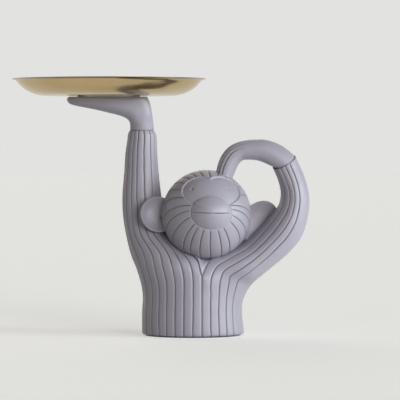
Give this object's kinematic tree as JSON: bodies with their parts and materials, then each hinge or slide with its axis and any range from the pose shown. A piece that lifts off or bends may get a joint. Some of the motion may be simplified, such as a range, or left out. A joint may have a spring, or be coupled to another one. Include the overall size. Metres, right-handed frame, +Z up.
{
  "type": "monkey tray figurine",
  "caption": "Matte monkey ornament with carved lines and a ball head; a raised hand holds a round dished metal tray, the other arm arches over to rest its hand on the head.",
  "frame": {"origin": "middle of the base's resting face", "axes": "+X to the viewer's right along the object's longest side, +Y away from the viewer who faces the monkey, +Z up"},
  "size_m": [0.2292, 0.15, 0.1979],
  "materials": {
    "resin": "matte mauve-grey cast resin",
    "tray_metal": "satin gold plating on pressed steel",
    "steel": "plain",
    "felt": "felt",
    "foam": "thin foam"
  },
  "bodies": {
    "figure": {"body": "resin", "base_pad": "felt", "head": "resin", "left_ear": "resin", "right_ear": "resin", "neck_dowel": "steel", "tray_hand": "resin", "tray_wrist_dowel": "steel", "right_hand": "resin", "right_wrist_dowel": "steel", "palm_magnet": "steel", "palm_pad": "foam"},
    "tray": {"tray": "tray_metal"}
  },
  "joints": [
    {"name": "tray_lift", "type": "slide", "parent": "figure", "child": "tray", "axis": [0, 0, 1], "range_m": [0, 0.06]}
  ]
}
